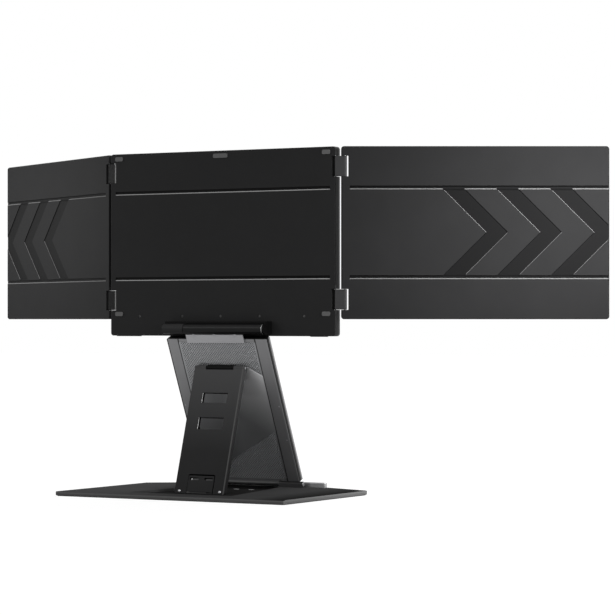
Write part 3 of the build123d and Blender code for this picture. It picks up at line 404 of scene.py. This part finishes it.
panel_metal = coating("panel_metal", (0.265, 0.269, 0.276), 0.42, metallic=0.8, drift=0.08,
                      grain=2400.0, depth=0.00001, stretch=(1.0, 0.06, 0.06), edge=0.0003)
panel_tree = panel_metal.node_tree
panel_x, panel_s, _ = leaf_place(panel_tree)
field = 1.0
for first, last in zip(field_corners, field_corners[1:] + field_corners[:1]):
    inner_side = side_of(panel_tree, panel_x, panel_s, first, last, 0.0003)
    field = calc(panel_tree, "MULTIPLY", field, inner_side)
one_way = waves(panel_tree, calc(panel_tree, "ADD", panel_x, panel_s), mesh_pitch)
other_way = waves(panel_tree, calc(panel_tree, "SUBTRACT", panel_x, panel_s), mesh_pitch)
dots = within(panel_tree, calc(panel_tree, "ADD", one_way, other_way), 0.55, 9.0, 0.5)
off_field = calc(panel_tree, "SUBTRACT", 1.0, field)
in_frame = within(panel_tree, panel_x, -0.0590, 0.0590, 0.0005)
holes = all_of(panel_tree, dots, off_field, in_frame)
# A painted highlight: the field's tone is graded lighter towards its upper edge. The sheet itself
# is flat.
level = side_of(panel_tree, panel_x, panel_s, field_corners[-1], field_corners[0], highlight_width)
painted_highlight = all_of(panel_tree, field, calc(panel_tree, "SUBTRACT", 1.0, level))
# A darker tone behind the kickstand stands in for the shade there at rest.
deeper = all_of(panel_tree, field, within(panel_tree, panel_x, -0.005, past, 0.03))
panel_out = calc(panel_tree, "ABSOLUTE", panel_x)
outline = within(panel_tree, panel_out, 0.0608, 0.0630, 0.0003)
lay_tones(panel_metal, (painted_highlight, (0.70, 0.70, 0.71)), (deeper, (0.175, 0.177, 0.181)),
          (holes, 0.002), (outline, 0.03))
punch = panel_tree.nodes.new("ShaderNodeBump")
punch.inputs["Strength"].default_value = 1.0
punch.inputs["Distance"].default_value = 0.0004
field_rise = calc(panel_tree, "MULTIPLY", field, 0.6)
panel_tree.links.new(calc(panel_tree, "SUBTRACT", field_rise, holes), punch.inputs["Height"])
panel_tree.links.new(panel_tree.nodes["grain"].outputs["Normal"], punch.inputs["Normal"])
panel_normal = panel_tree.nodes["Principled BSDF"].inputs["Normal"]
panel_tree.links.new(punch.outputs["Normal"], panel_normal)
dress(panel_metal, "leaf_rear_panel")

# ---- Leaf's front cover and small screws ----
# A moulded black cover closes the leaf on the user's side. Two small screws on each side of the
# frame hold the halves together.

cover_plastic = coating("cover_plastic", (0.02, 0.02, 0.021), 0.6, specular=0.4, grain=2000.0,
                        depth=0.00004, edge_highlight=1.6)
dress(cover_plastic, "leaf_front_cover")

leaf_up = np.array([0.0, math.cos(leaf_angle), math.sin(leaf_angle)])
leaf_back = np.array([0.0, math.sin(leaf_angle), -math.cos(leaf_angle)])
rear_offset = 0.006  # the frame's rear face lies this far to the front of the hinge's line
leaf_rear = np.array([0.0, *hinge_line]) - leaf_back * rear_offset
small_spots = [
    (leaf_rear + leaf_up * s) + np.array([x, 0.0, 0.0])
    for x in (-0.0755, 0.0755) for s in (0.064, 0.115)
]
small_heads = screw_heads(
    "leaf_screw_heads", small_spots, (-1, 0, 0), leaf_up,
    radius=0.0011, height=0.00005, dome=0.0, cross=(0.2, 0.6, 0.0004), sink=0.0035,
)
small_heads.data.materials.append(screw_steel)
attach(small_heads, "leaf")
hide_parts("leaf_screws")

# ---- Kickstand ----
# A flat anodised aluminium plate behind the leaf, hinged near the leaf's top on a steel pin. Two
# slots through it save weight and pass the screens' cables.

kick_lean = math.radians(17.2)
kick_up = np.array([0.0, -math.sin(kick_lean), math.cos(kick_lean)])
kick_back = np.array([0.0, math.cos(kick_lean), math.sin(kick_lean)])


def depth_under(tree, node, way):
    """How far a place lies short of a CAD node's furthest point in the unit direction way."""
    mesh = nodes[node].data
    points = np.empty(len(mesh.vertices) * 3, dtype=np.float32)
    mesh.vertices.foreach_get("co", points)
    furthest = float(np.max(points.reshape(-1, 3) @ np.array(way)))
    reach = tree.nodes.new("ShaderNodeVectorMath")
    reach.operation = "DOT_PRODUCT"
    reach.inputs[1].default_value = tuple(way)
    place = tree.nodes.new("ShaderNodeTexCoord").outputs["Object"]
    tree.links.new(place, reach.inputs[0])
    return calc(tree, "SUBTRACT", furthest, reach.outputs["Value"])


kick_anodised = coating("kick_anodised", (0.0125, 0.0125, 0.0128), 0.5, specular=0.06, drift=0.12,
                        grain=2600.0, depth=0.00002, edge=0.0005, edge_highlight=3.5)
kick_tree = kick_anodised.node_tree
kick_x, _, kick_z = place_on(kick_tree)
kick_to_x, _, _ = facing_on(kick_tree)
# Painted light: the tone is graded a little paler towards the hinge.
painted_top_light = within(kick_tree, kick_z, 0.06, past, 0.14)
# A painted highlight along the kickstand's edge on the user's left.
edge_highlight_strip = within(kick_tree, kick_x, -0.0390, -0.0365, 0.0006)
# The slots' end walls are painted dark, a painted shade, with a painted highlight line along the
# rear edge.
end_wall = calc(kick_tree, "LESS_THAN", kick_to_x, -0.7)
in_slots = within(kick_tree, kick_x, 0.0, 0.03, 0.0005)
at_slots = within(kick_tree, kick_z, 0.05, 0.15, 0.0005)
shaded_slot_end = all_of(kick_tree, end_wall, in_slots, at_slots)
kick_depth = depth_under(kick_tree, "kickstand", kick_back)
slot_highlight = all_of(kick_tree, shaded_slot_end, within(kick_tree, kick_depth, 0.0008, 0.0019, 0.0002))
lay_tones(kick_anodised, (painted_top_light, (0.045, 0.045, 0.0458)), (edge_highlight_strip, 0.06),
          (shaded_slot_end, 0.004), (slot_highlight, 0.62))
dress(kick_anodised, "kickstand")
kick_block_black = coating("kick_block_black", 0.004, 0.7, specular=0.05)
dress(kick_block_black, "kick_hinge_block")

# ---- Foot shoe ----
# A nylon shoe fills the window at the kickstand's foot. It keeps the metal off the base, and its
# two slots take a strap that ties the cables down.

shoe_nylon = coating("shoe_nylon", (0.025, 0.025, 0.0253), 0.6, specular=0.0, drift=0.12,
                     grain=1600.0, depth=0.00004, edge=0.0002)
shoe_tree = shoe_nylon.node_tree
shoe_x, _, shoe_z = place_on(shoe_tree)
# A black painted shadow along the shoe's upper edge and its side on the user's left, cast by the
# window's rim.
upper_shadow = within(shoe_tree, shoe_z, 0.0278, past, 0.0004)
side_shadow = within(shoe_tree, shoe_x, -past, -0.0194, 0.0004)
painted_shadow = calc(shoe_tree, "MAXIMUM", upper_shadow, side_shadow)
# A paler strip along the lower edge.
pale_strip_height = within(shoe_tree, shoe_z, 0.0050, 0.0064, 0.0003)
pale_strip_width = within(shoe_tree, shoe_x, -0.0105, 0.0215, 0.0004)
pale_strip = all_of(shoe_tree, pale_strip_height, pale_strip_width)
lay_tones(shoe_nylon, (pale_strip, 0.085), (painted_shadow, 0.0))
dress(shoe_nylon, "foot_shoe")

# ---- Foot rivets ----
# Two dome-headed aluminium rivets at the lower corners of the kickstand. They are set from its
# rear, and fix the shoe to its foot.

rivet_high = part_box("foot_rivets")[1]
rivet_radius = 0.0019
rivet_rise = 0.001
rivet_seat = 0.0004  # how far the heads are pressed into the plate
# The rivets' highest and rearmost points give the seat's place on the plate.
rivet_y = rivet_high.y - kick_back[1] * rivet_rise - rivet_seat
rivet_z = rivet_high.z - kick_back[2] * rivet_rise - kick_up[2] * rivet_radius
rivet_heads = screw_heads(
    "foot_rivet_heads", [(x, rivet_y, rivet_z) for x in (-0.032, 0.032)], (-1, 0, 0), kick_up,
    radius=rivet_radius, height=rivet_rise, dome=0.0007, cross=None, sink=0.0028,
)
rivet_heads.data.materials.append(screw_steel)
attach(rivet_heads, "kickstand")
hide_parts("foot_rivets")

# ---- Barrel bracket ----
# A bent strip of bare aluminium under the barrel's flange, which clamps it to the leaf's upper
# edge with three screws. Its surface is blasted and clear anodised.

bracket_satin = coating("bracket_satin", (0.33, 0.33, 0.34), 0.5, metallic=1.0, drift=0.06,
                        grain=2400.0, edge=0.0003, edge_highlight=1.5)
dress(bracket_satin, "barrel_bracket")

bracket_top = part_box("bracket_screws")[1]
bracket_radius = 0.002
bracket_seat = 0.0009  # from the screws' rearmost point down to the strip
bracket_y, bracket_z = (
    np.array([bracket_top.y, bracket_top.z])
    - leaf_back[1:] * bracket_seat - leaf_up[1:] * bracket_radius
)
bracket_heads = screw_heads(
    "bracket_screw_heads", [(x, bracket_y, bracket_z) for x in (-0.033, 0.0, 0.033)],
    (-1, 0, 0), leaf_up,
    radius=bracket_radius, height=0.0008, dome=0.0004, cross=(0.16, 0.6, 0.0005), sink=0.002,
)
bracket_heads.data.materials.append(bracket_satin)
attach(bracket_heads, "leaf")
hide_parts("bracket_screws")

# ---- Tilt barrel ----
# The sleeve on the leaf turns about a steel shaft in the mount on the screen's back. Both are
# diecast and painted satin black, and a bright washer sits at the barrel's end.

barrel_line = (-0.0050, 0.22573)  # y and z of the barrel's middle
knuckle_radius = 0.0072  # of the mount's own part of the barrel, and a little over
knuckle_from = 0.0465  # x where that part starts

barrel_coat = coating("barrel_coat", (0.0035, 0.0035, 0.0036), 0.34, specular=0.12, drift=0.12,
                      grain=2400.0, edge=0.0004, edge_highlight=2.0)
dress(barrel_coat, "tilt_sleeve")
mount_coat = coating("mount_coat", 0.002, 0.5, specular=0.05, drift=0.12, grain=2400.0,
                     edge=0.0003)
mount_tree = mount_coat.node_tree
mount_x, mount_y, mount_z = place_on(mount_tree)
off_y = calc(mount_tree, "SUBTRACT", mount_y, barrel_line[0])
off_z = calc(mount_tree, "SUBTRACT", mount_z, barrel_line[1])
square_y = calc(mount_tree, "MULTIPLY", off_y, off_y)
square_z = calc(mount_tree, "MULTIPLY", off_z, off_z)
off_line = calc(mount_tree, "SQRT", calc(mount_tree, "ADD", square_y, square_z))
round_part = calc(mount_tree, "LESS_THAN", off_line, knuckle_radius)
# The mount's own part of the barrel is painted lighter, a painted sheen to match the sleeve's.
knuckle_sheen = all_of(mount_tree, round_part, within(mount_tree, mount_x, knuckle_from, past, 0.0002))
lay_tones(mount_coat, (knuckle_sheen, (0.017, 0.017, 0.0172)))
dress(mount_coat, "tilt_shaft", "tilt_mount")
washer_steel = coating("washer_steel", 0.30, 0.35, metallic=1.0, grain=2400.0, edge=0.0001)
dress(washer_steel, "tilt_washer")

# ---- Centre screen's housing ----
# A shallow aluminium rear cover, bead blasted and anodised black, over a moulded front frame. Two
# grooves run across the cover.

stamped_low, stamped_high = 0.284, 0.430  # heights that the stampings lie between


def stamped(material, node, out, groove_shade, lit_slope_tone, joined=None):
    """Marks the grooves and the stamped fields of a rear cover whose face looks along out.

    Below the face the coat has the groove floors' darker tone, a painted shade in the grooves. A
    dark tone on the slopes that look down and a bright one on those that look up stand in for shade
    and light, but for where joined is 1.
    """
    tree = material.node_tree
    _, _, height = place_on(tree)
    _, _, to_z = facing_on(tree)
    between = within(tree, height, stamped_low, stamped_high, 0.001)
    depth = depth_under(tree, node, out)
    low = all_of(tree, between, within(tree, depth, 0.00008, 0.0030, 0.0002))
    shaded = all_of(tree, low, within(tree, to_z, -2.0, -0.2, 0.1))
    lit_slopes = all_of(tree, low, within(tree, to_z, 0.2, 2.0, 0.1))
    layers = [(low, groove_shade), (shaded, 0.001)]
    if joined is not None:
        lit_slopes = all_of(tree, lit_slopes, calc(tree, "SUBTRACT", 1.0, joined))
        layers.append((joined, groove_shade))
    lay_tones(material, *layers, (lit_slopes, lit_slope_tone))


centre_colour = (0.0105, 0.0105, 0.0107)
# The groove floors' tone is much darker, a painted shade in the grooves.
centre_groove_shade = tuple(c * 0.09 for c in centre_colour)
cover_anodised = coating("cover_anodised", centre_colour, 0.5, specular=0.06,
                         drift=0.12, grain=3200.0, depth=0.00002, edge=0.0004)
stamped(cover_anodised, "centre_rear_cover", (0.0, 1.0, 0.0), centre_groove_shade, 0.20)
dress(cover_anodised, "centre_rear_cover")
bezel_plastic = coating("bezel_plastic", (0.010, 0.010, 0.0105), 0.45, specular=0.20,
                        drift=0.12, grain=2600.0, edge=0.0004, edge_highlight=1.6)
dress(bezel_plastic, "centre_front_frame", "left_bezel", "right_bezel")

# ---- Centre screen's screws ----
# Five small blackened steel screws along the cover's lower edge, with a pressed cross. They sit
# in counterbores, and hold the cover on the front frame.

centre_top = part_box("centre_screws")[1]
centre_radius = 0.0018
centre_seat = 0.0009  # from the screws' rearmost point down to their seat
centre_y = centre_top.y - centre_seat
centre_z = centre_top.z - centre_radius
centre_heads = screw_heads(
    "centre_screw_heads",
    [(x, centre_y, centre_z) for x in (-0.132, -0.062, 0.0, 0.062, 0.132)],
    (-1, 0, 0), (0, 0, 1),
    radius=centre_radius, height=0.0008, dome=0.0003, cross=(0.18, 0.6, 0.0005), sink=0.002,
)
centre_heads.data.materials.append(screw_dark)
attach(centre_heads, "centre_screen")
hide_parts("centre_screws")

# ---- Rubber pads ----
# Small pads on the cover, which keep the folded screens apart. They are moulded in grey rubber
# and glued in place.

pad_rubber = coating("pad_rubber", 0.070, 0.8, specular=0.2, grain=1800.0, depth=0.00005,
                     edge=0.0004)
dress(pad_rubber, "rear_pads")

# ---- Displays ----
# Three display modules, one in each screen's frame. They are bought in, with a hard anti-glare
# film on the front.

display_film = coating("display_film", (0.006, 0.006, 0.008), 0.22, specular=0.5, drift=0.1,
                       grain=5000.0, depth=0.000004)
dress(display_film, "centre_lcd", "left_lcd", "right_lcd")

# ---- Boards, ports and buttons ----
# The main board and a driver board in each side screen are green with solder mask. The ports are
# nickel plated, and the two buttons are moulded bars in the lower edge.

board_mask = coating("board_mask", (0.01, 0.06, 0.025), 0.35, drift=0.3, grain=2600.0)
dress(board_mask, "main_board", "left_driver_board", "right_driver_board")
port_nickel = coating("port_nickel", 0.5, 0.25, metallic=1.0, grain=2600.0)
dress(port_nickel, "ports")
button_plastic = coating("button_plastic", 0.03, 0.5, specular=0.3, grain=2600.0, edge_highlight=2.0)
dress(button_plastic, "button_switches", "power_button", "menu_button")

# ---- Links and their pins ----
# Flat aluminium links between the screens, anodised grey, which turn on bright steel pins with
# friction washers.

# For each pair: its tone, the side of its inner end, and a band counted from that end with the
# band's tone: a painted shadow next to the centre screen on one pair and a painted highlight on the
# other. The two pairs' own tones differ as well, painted light and shade on parts that are alike.
for links, tone, inner, band, band_tone in (
    ("left_links", 0.030, 1, (-0.001, 0.0046), 0.001),
    ("right_links", 0.003, -1, (0.0042, 0.0070), 0.14),
):
    link_grey = coating(links + "_grey", (tone, tone, tone * 1.02), 0.5, metallic=0.2,
                        specular=0.05, drift=0.12, grain=2600.0, edge=0.0004, edge_highlight=2.5)
    link_tree = link_grey.node_tree
    link_x, _, _ = place_on(link_tree)
    link_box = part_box(links)
    inner_x = link_box[1].x if inner > 0 else -link_box[0].x
    from_end = calc(link_tree, "MULTIPLY_ADD", link_x, -float(inner), inner_x)
    lay_tones(link_grey, (within(link_tree, from_end, *band, 0.0003), band_tone))
    dress(link_grey, links)
link_pin_steel = coating("link_pin_steel", (0.75, 0.75, 0.76), 0.3, metallic=1.0, drift=0.1,
                         grain=3000.0, edge=0.0001)
dress(link_pin_steel, "left_inner_pins", "right_inner_pins", "left_outer_pins", "right_outer_pins")

# ---- Side screens' covers ----
# Aluminium rear covers like the centre one, with two grooves and three shallow chevrons stamped
# between them.

fold = math.radians(30.0)
chevron_middle = 0.35453  # height of the chevrons' points
chevron_half = 0.0569  # half of a chevron's height
chevron_start = 0.2208  # as chevron_ends counts it, like the two that follow
chevron_pitch = 0.0716
chevron_width = 0.0296
chevron_lap = 0.0012  # the last part of a chevron's arm, which meets the groove
upper_end = 0.4134  # height that the upper ends stop at
groove_line = 0.29493  # height of the lower groove's middle


def chevron_ends(tree, node, outward):
    """1 where the chevrons run out into the grooves.

    Outward is the way from the hinge to the cover's outer edge. With d the distance in from that
    edge and h the height over or under the points, the first chevron covers the places where
    d + chevron_half - h lies between chevron_start - chevron_width and chevron_start.
    """
    _, _, height = place_on(tree)
    inward = depth_under(tree, node, outward)
    off_middle = calc(tree, "ABSOLUTE", calc(tree, "SUBTRACT", height, chevron_middle))
    slant = calc(tree, "SUBTRACT", calc(tree, "ADD", inward, chevron_half), off_middle)
    arms = 0.0
    for i in range(3):
        start = chevron_start - i * chevron_pitch
        arm = within(tree, slant, start - chevron_width, start, 0.0003)
        arms = calc(tree, "ADD", arms, arm)
    ends = calc(tree, "GREATER_THAN", off_middle, chevron_half - chevron_lap)
    upper = calc(tree, "GREATER_THAN", height, chevron_middle)
    below_arms = calc(tree, "LESS_THAN", height, chevron_middle - chevron_half + chevron_lap)
    lower = all_of(tree, below_arms, calc(tree, "GREATER_THAN", height, groove_line))
    either = calc(tree, "MAXIMUM", upper, lower)
    return all_of(tree, ends, either, within(tree, height, stamped_low, upper_end, 0.0002), arms)


side_colour = (0.0135, 0.0135, 0.0138)
# The groove floors' tone is darker, a painted shade in the grooves.
side_groove_shade = tuple(c * 0.45 for c in side_colour)
for cover, towards in (("left_rear_cover", -1), ("right_rear_cover", 1)):
    side_out = (towards * math.sin(fold), math.cos(fold), 0.0)
    side_outward = (towards * math.cos(fold), -math.sin(fold), 0.0)
    side_anodised = coating(cover + "_coat", side_colour, 0.46, specular=0.02,
                            drift=0.12, grain=3200.0, depth=0.00002, edge=0.0004)
    cover_ends = chevron_ends(side_anodised.node_tree, cover, side_outward)
    stamped(side_anodised, cover, side_out, side_groove_shade, 0.12, cover_ends)
    dress(side_anodised, cover)

# ---- Studio ----
# A plain pale floor and sky, and soft lamps. The camera stands behind the screens, a little to
# the right of them as they are seen from there.

bpy.context.scene.view_settings.view_transform = "Standard"


def show_behind(tree, lit, shown):
    """A Mix Shader: shown for the rays that show the background, and lit for all others.

    The first are the camera's own rays, and those in gloss and glass.
    """
    rays = tree.nodes.new("ShaderNodeLightPath").outputs
    seen = calc(tree, "MAXIMUM", rays["Is Camera Ray"], rays["Is Glossy Ray"])
    seen = calc(tree, "MAXIMUM", seen, rays["Is Transmission Ray"])
    choose = tree.nodes.new("ShaderNodeMixShader")
    tree.links.new(seen, choose.inputs["Fac"])
    tree.links.new(lit.outputs[0], choose.inputs[1])
    tree.links.new(shown.outputs[0], choose.inputs[2])
    return choose.outputs[0]


world = bpy.data.worlds.new("studio_sky")
bpy.context.scene.world = world
world.use_nodes = True
sky = world.node_tree
sky.nodes.clear()
ambient, backdrop = (sky.nodes.new("ShaderNodeBackground") for _ in range(2))
for white, strength in ((ambient, 0.5), (backdrop, 1.0)):
    white.inputs["Color"].default_value = (1.0, 1.0, 1.0, 1.0)
    white.inputs["Strength"].default_value = strength
sky_out = sky.nodes.new("ShaderNodeOutputWorld")
sky.links.new(show_behind(sky, ambient, backdrop), sky_out.inputs["Surface"])

floor_reach = 12.0
floor_mesh = bpy.data.meshes.new("floor")
floor_mesh.from_pydata(
    [(x * floor_reach, y * floor_reach, 0.0) for x, y in ((-1, -1), (1, -1), (1, 1), (-1, 1))],
    [], [(0, 1, 2, 3)],
)
floor = bpy.data.objects.new("floor", floor_mesh)
bpy.context.scene.collection.objects.link(floor)
floor_white = bpy.data.materials.new("floor_white")
floor_white.use_nodes = True
floor_tree = floor_white.node_tree
floor_tree.nodes.clear()
lit, faint = (floor_tree.nodes.new("ShaderNodeBsdfDiffuse") for _ in range(2))
lit.inputs["Color"].default_value = (0.85, 0.85, 0.85, 1.0)
faint.inputs["Color"].default_value = (0.3, 0.3, 0.3, 1.0)
glow = floor_tree.nodes.new("ShaderNodeEmission")
glow.inputs["Strength"].default_value = 0.76
shown = floor_tree.nodes.new("ShaderNodeAddShader")
floor_tree.links.new(faint.outputs[0], shown.inputs[0])
floor_tree.links.new(glow.outputs[0], shown.inputs[1])
floor_out = floor_tree.nodes.new("ShaderNodeOutputMaterial")
floor_tree.links.new(show_behind(floor_tree, lit, shown), floor_out.inputs["Surface"])
floor_mesh.materials.append(floor_white)


def lamp(name, kind, place, power, size, target=(0.0, 0.0, 0.25), spread=180.0):
    """A soft lamp at a place, facing the target.

    Size is in metres, or in degrees for a sun. Spread is an area lamp's cone in degrees.
    """
    data = bpy.data.lights.new(name, kind)
    data.energy = power
    if kind == "SUN":
        data.angle = math.radians(size)
    else:
        data.size = size
        data.spread = math.radians(spread)
    light = bpy.data.objects.new(name, data)
    light.location = place
    towards = Vector(target) - Vector(place)
    light.rotation_euler = towards.to_track_quat("-Z", "Y").to_euler()
    light.visible_camera = False
    bpy.context.scene.collection.objects.link(light)


lamp("key", "SUN", (-2.0, 1.6, 2.6), power=1.2, size=50)
lamp("crest", "SUN", (0.53, 0.55, 0.645), power=0.35, size=6)
lamp("front", "SUN", (0.6, -2.6, 2.0), power=0.7, size=60)
lamp("sweep", "AREA", (-0.95, 0.1, 0.5), power=2.0, size=0.3, target=(-0.45, -0.15, 0.38),
     spread=52.0)
lamp("far_sweep", "AREA", (0.95, 0.1, 0.5), power=0.5, size=0.3, target=(0.45, -0.15, 0.38),
     spread=52.0)

camera_data = bpy.data.cameras.new("camera")
camera_data.sensor_width = 36.0
camera_data.lens = 154.54
camera_data.shift_y = 0.0192
camera_data.clip_end = 50.0
camera = bpy.data.objects.new("camera", camera_data)
camera.location = (-1.9028, 3.03575, 0.239)
camera.rotation_euler = (math.pi / 2, 0.0, math.radians(210.0))
bpy.context.scene.collection.objects.link(camera)
bpy.context.scene.camera = camera
